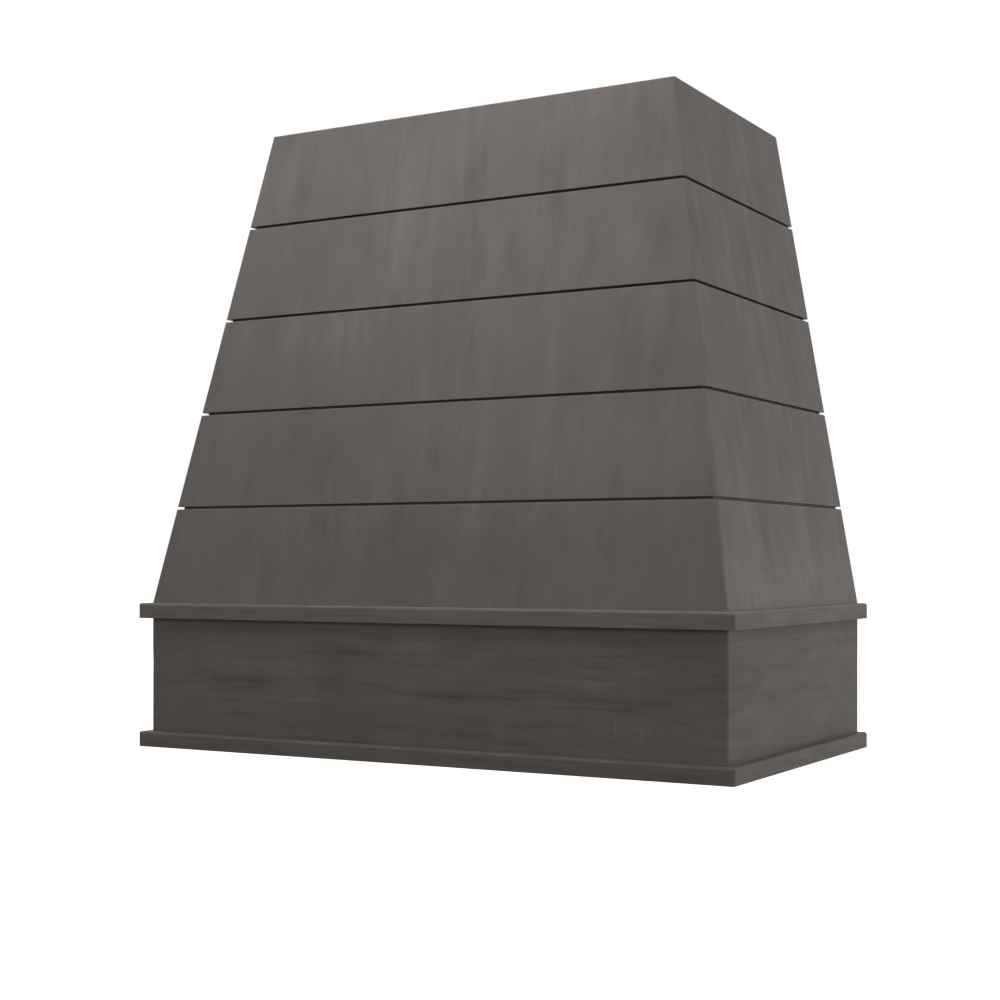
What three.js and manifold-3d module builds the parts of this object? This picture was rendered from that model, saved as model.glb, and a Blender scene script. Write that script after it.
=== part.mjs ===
// A tapered wooden range hood cover: a straight band with a trim round its foot and its head, and above
// it a section that leans in at the front and both sides, clad in five courses of shiplap. Inside are the
// plywood backing, the battens and rails that hold it square, the shelf that takes the hood insert, and
// the bevelled cleats that it hangs from.
//
// Millimetres, +Z up. X runs along the wall and the front faces -Y. Every piece is placed from the wall
// plane, Y = 0, and from the level of the underside, Z = 0. One group then moves them all, so that the
// origin is the middle of the footprint.

import * as THREE from "three";
import { mergeVertices } from "three/addons/utils/BufferGeometryUtils.js";
import Module from "manifold-3d";

const wasm = await Module();
wasm.setup();

// ---------------------------------------------------------------- driving dimensions

// Outer form, without the trims
const height = 914.4;
const bandWidth = 914.4;
const bandDepth = 501.65;
const topWidth = 660.4;
const topDepth = 374.65;
const taperBase = 211.5; // level where the faces begin to lean in, and top of the band

// Band and trims
const bandThickness = 19.05;
const trimHeight = 22.2;
const trimProjection = 14.3;
const trimEase = 1.6; // chamfer on the outer edges of a trim

// Shiplap. The thickness of a leaning piece is measured level.
const courses = 5;
const plankThickness = 15.9;
const plankGap = 3.6; // open gap between two courses
const lapDepth = 7.9; // from the face to the tongue at the bottom of the gap
const tongueHeight = 9.5; // how far a tongue stands up behind the course above
const lapPlay = 0.5; // play round a tongue
const plankEase = 0.8; // chamfer on the long edges of a face

// Joints between pieces
const glueLine = 0.3; // between a leaning piece and what it is glued or nailed to
const mitreGap = 0.3; // between two mitred ends, measured along a piece
const shelfPlay = 0.6; // round the shelf, inside the band

// Backing and battens of the leaning section
const backerThickness = 12.7;
const battenThickness = 19.05;
const hipSize = 31.75; // side of the square battens in the front corners
const stileWidth = 38.1; // battens up the wall edges
const studWidth = 63.5; // batten up the middle of the front
const topRailHeight = 69.85;

// Hanging: a back rail set in from the wall by the thickness of the cleats
const cleatThickness = 19.05; // also the run of the 45 degree bevels
const backRailHeight = 139.7;
const cleatEndGap = 28; // from each end of the hood cleat to the side rails
const hoodCleatHeight = 76.2; // over the long face of its bevel
const hoodCleatDrop = 12.7; // from the top of the cover to the top of the cleat
const wallCleatInset = 25.4; // how much shorter the wall cleat is at each end
const wallCleatHeight = 76.2;
const cleatPlay = 0.4; // between the two bevels, and between the wall cleat and the back rail

// Frame on top of the band
const sillThickness = 19.05;
const sillWidth = 63.5;

// Band: wall rail, corner blocks, and the shelf screwed up under its ledgers
const bandRailThickness = 19.05;
const bandRailBottom = 12.7;
const bandRailHeight = 139.7;
const ledgerThickness = 19.05;
const ledgerHeight = 38.1;
const shelfBottom = 50.8;
const shelfThickness = 12.7;
const shelfRimDepth = 63.5; // from the front and back ledgers to the insert's cut-out
const shelfRimWidth = 57.15; // from the side ledgers to the insert's cut-out
const cornerBlockLeg = 38.1;

// Screws, and the holes for the installer's own wall screws
const screwHeadRadius = 4.2;
const screwShankRadius = 2.1;
const screwHeadDepth = 2.6;
const screwTipLength = 5;
const screwSink = 0.4; // how far a head lies below the wood
const screwPlay = 0.35; // all round a screw
const cleatScrewCount = 4;
const cleatScrewMargin = 44.45; // from the end of the hood cleat to the nearest screw
const cleatScrewCover = 6.35; // wood left between a screw's tip and the wall
const shelfScrewGrip = 19.05; // how far a screw goes into its ledger
const wallHoleRadius = 2.75;
const wallHoleSinkRadius = 5.5;
const wallHoleSpacing = 203.2; // half the pitch of the studs in a wall
const wallHoleMargin = 20; // least distance from a hole to the end of its board
const roundSides = 16;
const cutOverrun = 1; // how far a cutter stands out of the wood

// ---------------------------------------------------------------- derived sizes

const sideLean = (bandWidth - topWidth) / 2 / (height - taperBase);
const frontLean = (bandDepth - topDepth) / (height - taperBase);
const coursePitch = (height - taperBase) / courses;

const backerFace = plankThickness + glueLine; // depths from the outer face, measured level
const battenFace = backerFace + backerThickness + glueLine;
const battenBack = battenFace + battenThickness;

// Half the width, and the front face, of the outer form at a level.
const rise = (z) => Math.max(0, z - taperBase);
const halfWidth = (z) => bandWidth / 2 - sideLean * rise(z);
const frontY = (z) => -bandDepth + frontLean * rise(z);

const topRailBottom = height - topRailHeight;
const hoodCleatLength = 2 * (halfWidth(height) - battenBack - cleatEndGap);
const hoodCleatTop = height - hoodCleatDrop;
const bevelLevel = hoodCleatTop - hoodCleatHeight + cleatThickness; // where the bevel meets the back rail
const wallCleatLength = hoodCleatLength - 2 * wallCleatInset;

const innerHalf = bandWidth / 2 - bandThickness;
const innerFront = -bandDepth + bandThickness;
const sillBottom = taperBase - sillThickness;
const shelfTop = shelfBottom + shelfThickness;
const ledgerTop = shelfTop + ledgerHeight;
const bandRailTop = bandRailBottom + bandRailHeight;
const bandRailFront = -bandRailThickness;
const ledgerFrontInner = innerFront + ledgerThickness;
const ledgerBackInner = bandRailFront - ledgerThickness;
const ledgerSideInner = innerHalf - ledgerThickness;

// ---------------------------------------------------------------- materials

const wood = (color, roughness) =>
  new THREE.MeshStandardMaterial({ color, roughness, metalness: 0, flatShading: true });

const stainedMaple = wood(0x6b6762, 0.6);
const plywood = wood(0xc8ab80, 0.75);
const poplar = wood(0xc3b48d, 0.8);
const zinc = new THREE.MeshStandardMaterial({ color: 0xb8bbbf, roughness: 0.35, metalness: 1 });

// ---------------------------------------------------------------- shapes

// The solid between two placed copies of an outline. The outline is a list of [across, up] pairs and
// runs anticlockwise seen from the far end.
function loft(outline, placeNear, placeFar) {
  const count = outline.length;
  const corners = [...outline.map(placeNear), ...outline.map(placeFar)];
  const flat = outline.map(([across, up]) => new THREE.Vector2(across, up));
  const faces = THREE.ShapeUtils.triangulateShape(flat, []).flatMap(([a, b, c]) => [
    [c, b, a],
    [a + count, b + count, c + count],
  ]);
  for (let i = 0; i < count; i++) {
    const next = (i + 1) % count;
    faces.push([i, next, next + count], [i, next + count, i + count]);
  }
  const geometry = new THREE.BufferGeometry();
  geometry.setAttribute("position", new THREE.Float32BufferAttribute(corners.flat(), 3));
  geometry.setIndex(faces.flat());
  return geometry;
}

// A piece along the front. Its outline is [depth in from the outer face, level], and its ends are as far
// from the middle as halfLength says: up to the mitres, if nothing else is given.
const toMitre = (depth, z) => halfWidth(z) - depth - mitreGap / 2;
function alongFront(outline, halfLength = toMitre) {
  const end = (side) => ([depth, z]) => [side * halfLength(depth, z), frontY(z) + depth, z];
  return loft(outline, end(-1), end(1));
}

// A piece along one side, with the same kind of outline, from the mitre to the wall if no other ends are
// given.
const atMitre = (depth, z) => frontY(z) + depth + mitreGap / 2;
const atWall = () => 0;
function alongSide(side, outline, frontEnd = atMitre, rearEnd = atWall) {
  const end = (y) => ([depth, z]) => [side * (halfWidth(z) - depth), y(depth, z), z];
  const [near, far] = side > 0 ? [frontEnd, rearEnd] : [rearEnd, frontEnd];
  return loft(outline, end(near), end(far));
}

// A piece across the back. Its outline is [Y, level].
function acrossBack(outline, halfLength) {
  const end = (side) => ([y, z]) => [side * halfLength(z), y, z];
  return loft(outline, end(-1), end(1));
}

// A rectangle as an outline.
const rectangle = (left, right, bottom, top) => [
  [left, bottom],
  [right, bottom],
  [right, top],
  [left, top],
];

// A square-edged block, from the ranges that it covers.
function block(xs, [front, rear], [bottom, top]) {
  const at = (y) => ([x, z]) => [x, y, z];
  return loft(rectangle(Math.min(...xs), Math.max(...xs), bottom, top), at(rear), at(front));
}

// A round shape whose axis is Y, from [radius, distance] pairs.
function turned(profile) {
  const points = profile.map(([radius, distance]) => new THREE.Vector2(radius, distance));
  return new THREE.LatheGeometry(points, roundSides);
}

// ---------------------------------------------------------------- cutting

function solidOf(geometry) {
  const bare = geometry.clone();
  bare.deleteAttribute("normal");
  bare.deleteAttribute("uv");
  const merged = mergeVertices(bare);
  return new wasm.Manifold(
    new wasm.Mesh({
      numProp: 3,
      vertProperties: merged.getAttribute("position").array,
      triVerts: new Uint32Array(merged.index.array),
    }),
  );
}

function cut(geometry, cutters) {
  const whole = solidOf(geometry);
  const left = cutters.reduce((solid, cutter) => solid.subtract(solidOf(cutter)), whole);
  const mesh = left.getMesh();
  const made = new THREE.BufferGeometry();
  made.setAttribute("position", new THREE.Float32BufferAttribute(mesh.vertProperties, 3));
  made.setIndex([...mesh.triVerts]);
  return made;
}

// ---------------------------------------------------------------- assembly

const cover = new THREE.Group();
cover.name = "range_hood_cover";
cover.position.y = (bandDepth + trimProjection) / 2;

function add(name, geometry, material) {
  const mesh = new THREE.Mesh(geometry, material);
  mesh.name = name;
  cover.add(mesh);
}

// Builds something once for each side.
function onBothSides(build) {
  build("left", -1);
  build("right", 1);
}

// Adds the three mitred pieces that share one outline: front, left and right.
function addMitred(prefix, outline, material, suffix = "") {
  add(`${prefix}_front${suffix}`, alongFront(outline), material);
  onBothSides((name, side) => add(`${prefix}_${name}${suffix}`, alongSide(side, outline), material));
}

// ---------------------------------------------------------------- shiplap

// One course, as [depth, level]: a face with eased edges, a tongue up the back of all but the highest
// and a lip over the tongue below on all but the lowest.
function plankOutline(course) {
  const lowest = course === 1;
  const highest = course === courses;
  const bottom = taperBase + (course - 1) * coursePitch + (lowest ? 0 : plankGap / 2);
  const top = taperBase + course * coursePitch - (highest ? 0 : plankGap / 2);
  const lipTop = bottom - plankGap + tongueHeight + lapPlay;
  const foot = lowest
    ? [[plankThickness, bottom]]
    : [
        [lapDepth - lapPlay, bottom],
        [lapDepth - lapPlay, lipTop],
        [plankThickness, lipTop],
      ];
  const head = highest
    ? [[plankThickness, top]]
    : [
        [plankThickness, top + tongueHeight],
        [lapDepth, top + tongueHeight],
        [lapDepth, top],
      ];
  const face = [
    [plankEase, top],
    [0, top - plankEase],
    [0, bottom + plankEase],
    [plankEase, bottom],
  ];
  return [...foot, ...head, ...face];
}

function addShiplap() {
  for (let course = 1; course <= courses; course++) {
    addMitred("plank", plankOutline(course), stainedMaple, `_${course}`);
  }
}

// ---------------------------------------------------------------- band and trims

// A trim on the face of the band, with its two outer edges eased.
function trimOutline(bottom) {
  const top = bottom + trimHeight;
  return [
    [0, bottom],
    [0, top],
    [trimEase - trimProjection, top],
    [-trimProjection, top - trimEase],
    [-trimProjection, bottom + trimEase],
    [trimEase - trimProjection, bottom],
  ];
}

function addBand() {
  addMitred("band", rectangle(0, bandThickness, 0, taperBase), stainedMaple);
  addMitred("lower_trim", trimOutline(0), stainedMaple);
  addMitred("upper_trim", trimOutline(taperBase - trimHeight), stainedMaple);
}

// ---------------------------------------------------------------- inside the leaning section

function addBacking() {
  const board = rectangle(backerFace, backerFace + backerThickness, taperBase, height);
  addMitred("backer", board, plywood);
}

function addBattens() {
  const upright = rectangle(battenFace, battenBack, taperBase, topRailBottom);
  add("front_stud", alongFront(upright, () => studWidth / 2), poplar);

  const hip = rectangle(battenFace, battenFace + hipSize, taperBase, topRailBottom);
  const hipFront = (depth, z) => frontY(z) + battenFace;
  const hipRear = (depth, z) => hipFront(depth, z) + hipSize;
  onBothSides((name, side) => {
    add(`hip_batten_${name}`, alongSide(side, hip, hipFront, hipRear), poplar);
    add(`rear_stile_${name}`, alongSide(side, upright, () => -stileWidth), poplar);
  });
}

function addTopRails() {
  addMitred("top_rail", rectangle(battenFace, battenBack, topRailBottom, height), poplar);
}

// ---------------------------------------------------------------- hanging

const centred = (count, spacing) =>
  Array.from({ length: count }, (_, i) => (i - (count - 1) / 2) * spacing);

// As many wall screw holes as a board has room for.
const wallHolePlaces = (length) =>
  centred(Math.floor((length - 2 * wallHoleMargin) / wallHoleSpacing) + 1, wallHoleSpacing);

// A countersunk screw with its head at distance 0, or with play added the hole that it is driven in.
function screw(length, play = 0) {
  const head = screwHeadRadius + play;
  const shank = screwShankRadius + play;
  return turned([
    [0, play ? -cutOverrun : 0],
    [head, play ? -cutOverrun : 0],
    [head, play],
    [shank, screwHeadDepth + play],
    [shank, length - screwTipLength + play],
    [0, length + play],
  ]);
}

// A countersunk hole right through a board, from its front face at y.
function wallHole(x, y, z, thickness) {
  const hole = turned([
    [0, -cutOverrun],
    [wallHoleSinkRadius, -cutOverrun],
    [wallHoleSinkRadius, 0],
    [wallHoleRadius, wallHoleSinkRadius - wallHoleRadius],
    [wallHoleRadius, thickness + cutOverrun],
    [0, thickness + cutOverrun],
  ]);
  return hole.translate(x, y, z);
}

function addHanging() {
  const railFront = -2 * cleatThickness;
  const screwLength = 2 * cleatThickness - cleatScrewCover;
  const screwSpacing = (hoodCleatLength - 2 * cleatScrewMargin) / (cleatScrewCount - 1);
  const screwPlaces = centred(cleatScrewCount, screwSpacing);
  const screwLevel = (hoodCleatTop + bevelLevel) / 2;
  const placed = (shape, x) => shape.translate(x, railFront + screwSink, screwLevel);
  const screwHoles = screwPlaces.map((x) => placed(screw(screwLength, screwPlay), x));

  const rail = rectangle(railFront, -cleatThickness, height - backRailHeight, height);
  const betweenSides = (z) => halfWidth(z) - battenBack - glueLine;
  add("top_rail_back", cut(acrossBack(rail, betweenSides), screwHoles), poplar);

  const hoodCleat = [
    [-cleatThickness, bevelLevel],
    [0, bevelLevel - cleatThickness],
    [0, hoodCleatTop],
    [-cleatThickness, hoodCleatTop],
  ];
  const hoodCleatBoard = acrossBack(hoodCleat, () => hoodCleatLength / 2);
  add("hood_cleat", cut(hoodCleatBoard, screwHoles), poplar);

  screwPlaces.forEach((x, i) => {
    add(`cleat_screw_${i + 1}`, placed(screw(screwLength), x), zinc);
  });

  // The wall half faces the other way: its bevel falls towards the wall, and the hood half drops into it.
  const face = cleatPlay - cleatThickness;
  const ridge = bevelLevel - 2 * cleatPlay;
  const wallCleatBottom = ridge - wallCleatHeight;
  const wallCleat = [
    [face, wallCleatBottom],
    [0, wallCleatBottom],
    [0, ridge + face],
    [face, ridge],
  ];
  const holeLevel = (wallCleatBottom + ridge + face) / 2;
  const holes = wallHolePlaces(wallCleatLength).map((x) => wallHole(x, face, holeLevel, -face));
  add("wall_cleat", cut(acrossBack(wallCleat, () => wallCleatLength / 2), holes), poplar);
}

// ---------------------------------------------------------------- frame on top of the band

function addSills() {
  const levels = [sillBottom, taperBase];
  const frontInner = innerFront + sillWidth;
  const sideInner = innerHalf - sillWidth;
  add("sill_front", block([-innerHalf, innerHalf], [innerFront, frontInner], levels), poplar);
  add("sill_back", block([-sideInner, sideInner], [-sillWidth, 0], levels), poplar);
  onBothSides((name, side) => {
    const across = [side * sideInner, side * innerHalf];
    add(`sill_${name}`, block(across, [frontInner, 0], levels), poplar);
  });
}

// ---------------------------------------------------------------- inside the band

const ledgerLevels = [shelfTop, ledgerTop];

// One screw up through the shelf into the middle of each ledger: [x, y].
const shelfScrewPlaces = [
  [0, innerFront + ledgerThickness / 2],
  [0, bandRailFront - ledgerThickness / 2],
  [-innerHalf + ledgerThickness / 2, (ledgerFrontInner + ledgerBackInner) / 2],
  [innerHalf - ledgerThickness / 2, (ledgerFrontInner + ledgerBackInner) / 2],
];

function shelfScrew([x, y], play = 0) {
  const shape = screw(shelfThickness + shelfScrewGrip, play).rotateX(Math.PI / 2);
  return shape.translate(x, y, shelfBottom + screwSink);
}

// Its screw holes are reached from below the shelf.
function addBandRail() {
  const board = block([-innerHalf, innerHalf], [bandRailFront, 0], [bandRailBottom, bandRailTop]);
  const holeLevel = (bandRailBottom + shelfBottom) / 2;
  const holes = wallHolePlaces(2 * innerHalf).map((x) =>
    wallHole(x, bandRailFront, holeLevel, bandRailThickness),
  );
  add("band_back_rail", cut(board, holes), poplar);
}

function addLedgers() {
  const [frontScrew, backScrew, leftScrew, rightScrew] = shelfScrewPlaces.map((place) =>
    shelfScrew(place, screwPlay),
  );
  const front = block([-innerHalf, innerHalf], [innerFront, ledgerFrontInner], ledgerLevels);
  const back = block([-innerHalf, innerHalf], [ledgerBackInner, bandRailFront], ledgerLevels);
  const between = [ledgerFrontInner, ledgerBackInner];
  const left = block([-innerHalf, -ledgerSideInner], between, ledgerLevels);
  const right = block([ledgerSideInner, innerHalf], between, ledgerLevels);
  add("ledger_front", cut(front, [frontScrew]), poplar);
  add("ledger_back", cut(back, [backScrew]), poplar);
  add("ledger_left", cut(left, [leftScrew]), poplar);
  add("ledger_right", cut(right, [rightScrew]), poplar);
}

function addShelf() {
  const board = block(
    [-innerHalf + shelfPlay, innerHalf - shelfPlay],
    [innerFront + shelfPlay, bandRailFront - shelfPlay],
    [shelfBottom, shelfTop],
  );
  const cutHalf = ledgerSideInner - shelfRimWidth;
  const cutOut = block(
    [-cutHalf, cutHalf],
    [ledgerFrontInner + shelfRimDepth, ledgerBackInner - shelfRimDepth],
    [shelfBottom - cutOverrun, shelfTop + cutOverrun],
  );
  const holes = shelfScrewPlaces.map((place) => shelfScrew(place, screwPlay));
  add("liner_shelf", cut(board, [cutOut, ...holes]), plywood);
  shelfScrewPlaces.forEach((place, i) => add(`shelf_screw_${i + 1}`, shelfScrew(place), zinc));
}

// Three-cornered glue blocks above the ledgers, in the front corners and where the wall rail meets the
// sides.
function addCornerBlocks() {
  const cornerBlock = (side, y, inward, bottom, top) => {
    const outline = [
      [side * innerHalf, y],
      [side * (innerHalf - cornerBlockLeg), y],
      [side * innerHalf, y + inward * cornerBlockLeg],
    ];
    const turns = side * inward > 0 ? outline.toReversed() : outline;
    const end = (z) => ([x, along]) => [x, along, z];
    return loft(turns, end(bottom), end(top));
  };
  const seat = ledgerTop + glueLine;
  onBothSides((name, side) => {
    const front = cornerBlock(side, innerFront, 1, seat, sillBottom);
    const rear = cornerBlock(side, bandRailFront, -1, seat, bandRailTop);
    add(`corner_block_front_${name}`, front, poplar);
    add(`corner_block_rear_${name}`, rear, poplar);
  });
}

addShiplap();
addBand();
addBacking();
addBattens();
addTopRails();
addHanging();
addSills();
addBandRail();
addLedgers();
addShelf();
addCornerBlocks();

export default cover;
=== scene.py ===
"""The finished look of a tapered wooden range hood cover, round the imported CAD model.

The stained boards that show from outside are made here as surfaces with softly rounded arrises. The
hidden lumber and plywood keep their CAD shapes and get eased edges and a material. Metres, +Z up,
the front faces -Y, and every object sits at the origin with its place in its mesh.
"""

import math

import bpy
import numpy as np
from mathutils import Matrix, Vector


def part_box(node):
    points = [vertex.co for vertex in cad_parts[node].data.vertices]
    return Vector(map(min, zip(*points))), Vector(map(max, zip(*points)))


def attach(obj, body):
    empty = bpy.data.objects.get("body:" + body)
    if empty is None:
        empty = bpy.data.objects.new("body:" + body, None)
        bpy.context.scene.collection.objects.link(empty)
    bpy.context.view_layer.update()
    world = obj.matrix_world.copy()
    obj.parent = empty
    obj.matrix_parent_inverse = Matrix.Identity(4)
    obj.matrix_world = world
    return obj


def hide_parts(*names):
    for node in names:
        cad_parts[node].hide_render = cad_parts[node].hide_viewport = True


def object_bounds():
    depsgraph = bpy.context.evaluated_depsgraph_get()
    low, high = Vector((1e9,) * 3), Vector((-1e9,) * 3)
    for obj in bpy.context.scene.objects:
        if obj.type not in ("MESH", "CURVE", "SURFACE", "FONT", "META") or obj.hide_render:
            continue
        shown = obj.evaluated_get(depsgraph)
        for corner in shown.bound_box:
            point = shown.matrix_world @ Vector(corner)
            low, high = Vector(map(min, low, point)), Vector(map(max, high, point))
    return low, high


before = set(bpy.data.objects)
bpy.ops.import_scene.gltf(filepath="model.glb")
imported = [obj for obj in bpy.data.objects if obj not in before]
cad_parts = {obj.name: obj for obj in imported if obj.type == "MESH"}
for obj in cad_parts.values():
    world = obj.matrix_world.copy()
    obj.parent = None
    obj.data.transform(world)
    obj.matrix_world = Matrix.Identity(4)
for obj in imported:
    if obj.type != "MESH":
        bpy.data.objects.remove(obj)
cad_box = [list(corner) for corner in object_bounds()]

bl_info = {
    "name": "Tapered Range Hood Cover",
    "version": (1, 0, 0),
    "blender": (4, 5, 0),
    "location": "3D View > Sidebar > Hood Cover",
    "description": "Stained shiplap cover over a trimmed band, with its inner lumber and a plain studio",
    "category": "Add Mesh",
}

MILLIMETRE = 0.001
# Radii of a screw's head, thread crest and core, and distances from the face of its head
SCREW = {
    "head": 0.0042, "crest": 0.0021, "core": 0.00145,
    "rim": 0.0003, "cone": 0.0026, "shank": 0.0075, "thread": 0.0080,
    "pitch": 0.0025, "tip": 0.0050, "ring_step": 0.0004,
}
# The cross recess: half the width and half the length of its arms, the slopes of their walls, its depth
# and the radius at which the head's face begins
RECESS = {
    "arm": 0.00075, "reach": 0.0032, "arm_wall": 0.00025, "end_wall": 0.0012, "depth": 0.0019,
    "middle": 0.0003,
}
FACES = ("front", "left", "right")
SIDES = {"left": -1, "right": 1}
# How far the sides' sheets of figure lie from the front's, and those of two level boards from each other
SHEETS_APART = 2.7
BOARDS_APART = 1.37
# Between the backs of the planks and the backing
BACKER_PLAY = 0.0003
# Angles from which an edge is shaded sharp, from which it is eased, and within which triangles are joined
SHARP_FROM = math.radians(35)
EASED_FROM = math.radians(40)
FLAT_WITHIN = math.radians(1)


# ---------------------------------------------------------------- sizes and colours


def length(name, description, default):
    """A size in metres."""
    return bpy.props.FloatProperty(
        name=name, description=description, default=default, min=0, unit="LENGTH", precision=5
    )


def colour(name, description, default):
    """A linear colour."""
    return bpy.props.FloatVectorProperty(
        name=name, description=description, default=default, size=3, min=0, max=1, subtype="COLOR"
    )


def power(name, description, default):
    """Power of a lamp in watts."""
    return bpy.props.FloatProperty(name=name, description=description, default=default, min=0, unit="POWER")


class CoverSizes(bpy.types.PropertyGroup):
    """Sizes of the outer form and of the boards on it."""

    height: length("Height", "Whole height of the cover", cad_box[1][2])
    band_width: length("Band width", "Width of the band without its trims", 0.9144)
    band_depth: length("Band depth", "From the wall to the face of the band", 0.50165)
    top_width: length("Top width", "Width at the top", 0.6604)
    top_depth: length("Top depth", "From the wall to the front at the top", 0.37465)
    taper_base: length("Taper base", "Level at which the faces begin to lean in", 0.2115)
    board: length("Band board", "Thickness of the band boards", 0.01905)
    trim_height: length("Trim height", "Height of a trim", 0.0222)
    trim_projection: length("Trim projection", "How far a trim stands out", 0.0143)
    trim_round: length("Trim rounding", "Radius of a trim's upper arris and of its corners", 0.004)
    courses: bpy.props.IntProperty(
        name="Courses", description="Courses of shiplap", default=5, min=1, max=5
    )
    plank: length("Plank", "Thickness of a plank, measured level", 0.0159)
    plank_gap: length("Plank gap", "Open gap between two courses", 0.0036)
    plank_round: length("Plank rounding", "Radius of a plank's upper arris", 0.0015)
    plank_ease: length("Plank easing", "Radius of a plank's and a trim's lower arris", 0.0006)
    corner_round: length("Corner rounding", "Radius of the mitred corners", 0.003)
    end_round: length("End rounding", "Radius of the arrises at the wall", 0.0006)
    lap_depth: length("Lap depth", "From a plank's face to its tongue", 0.0079)
    tongue: length("Tongue", "How far a tongue stands up behind the next course", 0.0095)
    lap_play: length("Lap play", "Play round a tongue", 0.0005)
    mitre_gap: length("Mitre gap", "Between two mitred ends, along a piece", 0.00003)
    lumber_ease: length("Lumber ease", "Width of the eased edges of the inner lumber", 0.0009)


class CoverColours(bpy.types.PropertyGroup):
    """Colours of the finishes, as linear values."""

    plank_stain: colour("Plank stain", "Stained maple of the shiplap", (0.1417, 0.1282, 0.1209))
    band_stain: colour("Band stain", "Stained maple of the band", (0.1285, 0.1125, 0.0993))
    upper_trim_stain: colour("Upper trim stain", "Stained maple of the upper trim", (0.1433, 0.1251, 0.1112))
    lower_trim_stain: colour("Lower trim stain", "Stained maple of the lower trim", (0.1210, 0.1066, 0.0934))
    poplar: colour("Poplar", "Inner lumber", (0.560, 0.462, 0.290))
    plywood: colour("Plywood", "Face veneer of the plywood", (0.578, 0.420, 0.245))
    zinc: colour("Zinc", "Plated screws", (0.520, 0.540, 0.560))


class StudioSettings(bpy.types.PropertyGroup):
    """Light and floor of the studio."""

    key: power("Key light", "High and close in front", 4.4)
    front: power("Front light", "Farther in front", 5.4)
    top: power("Top light", "Overhead", 26)
    high_side: power("High side light", "High on the right", 7.8)
    low_side: power("Low side light", "Low and close on the right", 4.3)
    fill: power("Rear light", "Behind on the left", 45)
    ambient: bpy.props.FloatProperty(
        name="Ambient", description="Strength of the light from all round", default=0.27, min=0
    )
    floor: colour("Floor", "Colour of the floor", (0.8, 0.8, 0.8))
    bounce: colour("Floor bounce", "Colour of the floor for the light it throws back", (0.12, 0.12, 0.12))


# ---------------------------------------------------------------- shape


class Form:
    """The outer form: upright up to the taper base, and above it leaning in by the same amount per
    metre at the front and at both sides. Depths are measured level, inwards from its faces."""

    def __init__(self, sizes):
        rise = sizes.height - sizes.taper_base
        self.taper_base = sizes.taper_base
        self.half = sizes.band_width / 2
        self.depth = sizes.band_depth
        self.side_lean = (sizes.band_width - sizes.top_width) / 2 / rise
        self.front_lean = (sizes.band_depth - sizes.top_depth) / rise
        self.wall = (sizes.band_depth + sizes.trim_projection) / 2

    def half_width(self, z):
        return self.half - self.side_lean * np.maximum(0, z - self.taper_base)

    def front(self, z):
        return self.wall - self.depth + self.front_lean * np.maximum(0, z - self.taper_base)


def eased(corners, radii, steps=5):
    """An outline whose square corners are rounded. With a and b the directions from a corner to its
    neighbours, the arc is corner + radius * (a * (1 - sin t) + b * (1 - cos t)), t from 0 to 90 degrees.
    A corner of radius 0 stays one point."""
    corners, radii = np.array(corners, float), np.array(radii, float)
    before = np.roll(corners, 1, axis=0) - corners
    after = np.roll(corners, -1, axis=0) - corners
    before /= np.linalg.norm(before, axis=1, keepdims=True)
    after /= np.linalg.norm(after, axis=1, keepdims=True)
    t = np.linspace(0, math.pi / 2, steps + 1)[:, None]
    bend = before[:, None] * (1 - np.sin(t)) + after[:, None] * (1 - np.cos(t))
    points = corners[:, None] + radii[:, None, None] * bend
    keep = (radii[:, None] > 0) | (np.arange(steps + 1) == 0)
    return points[keep]


def bent(outline, radius, turn, steps=4):
    """How a face bends away at the end of a piece. At each station no point is shallower than
    face + radius * (1 - cos t), and the station is radius * (sin turn - sin t) short of the end."""
    t = np.linspace(0, turn, steps + 1)[:, None]
    depth = np.maximum(outline[:, 0], outline[:, 0].min() + radius * (1 - np.cos(t)))
    return depth, radius * (math.sin(turn) - np.sin(t))


def mitred_end(outline, radius, gap):
    """(depth, inset) of every outline point at the stations of a mitre: each point is at least as deep
    as the bent face, and is set in from the corner of the form by its depth on the mitre plane, half
    the gap and the station's distance."""
    depth, back = bent(outline, radius, math.pi / 4)
    return depth, depth[-1] + gap / 2 + back


def along_front(form, outline, radius, gap):
    """Grid of points of a piece along the front, mitred at both ends. The outline is [depth, level];
    a point is at (half width - inset, front + depth, level), and mirrored on the left."""
    depth, inset = mitred_end(outline, radius, gap)
    z = np.broadcast_to(outline[:, 1], depth.shape)
    right = np.stack([form.half_width(z) - inset, form.front(z) + depth, z], axis=-1)
    left = right[::-1] * (-1, 1, 1)
    return np.concatenate([left, right])


def along_side(form, side, outline, radius, gap, end_radius):
    """Grid of points of a piece along one side, from its mitre to the wall. A point is at
    (side * (half width - depth), front + inset, level) near the mitre, and short of the wall by the
    station's distance at the square rear end."""
    depth, inset = mitred_end(outline, radius, gap)
    z = np.broadcast_to(outline[:, 1], depth.shape)
    mitre = np.stack([side * (form.half_width(z) - depth), form.front(z) + inset, z], axis=-1)[::-1]
    depth, back = bent(outline, end_radius, math.pi / 2)
    z = np.broadcast_to(outline[:, 1], depth.shape)
    y = np.broadcast_to(form.wall - back, depth.shape)
    square = np.stack([side * (form.half_width(z) - depth), y, z], axis=-1)
    return np.concatenate([mitre, square])


def skin(grid):
    """Faces over a grid of stations by outline points: a quadrilateral between neighbours, closed
    round the outline, and one face over each end."""
    stations, around = grid.shape[:2]
    index = np.arange(stations * around).reshape(stations, around)
    beside = np.roll(index, -1, axis=1)
    quads = np.stack([index[:-1], beside[:-1], beside[1:], index[1:]], axis=-1).reshape(-1, 4)
    return quads.tolist() + [index[0, ::-1].tolist(), index[-1].tolist()]


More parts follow.
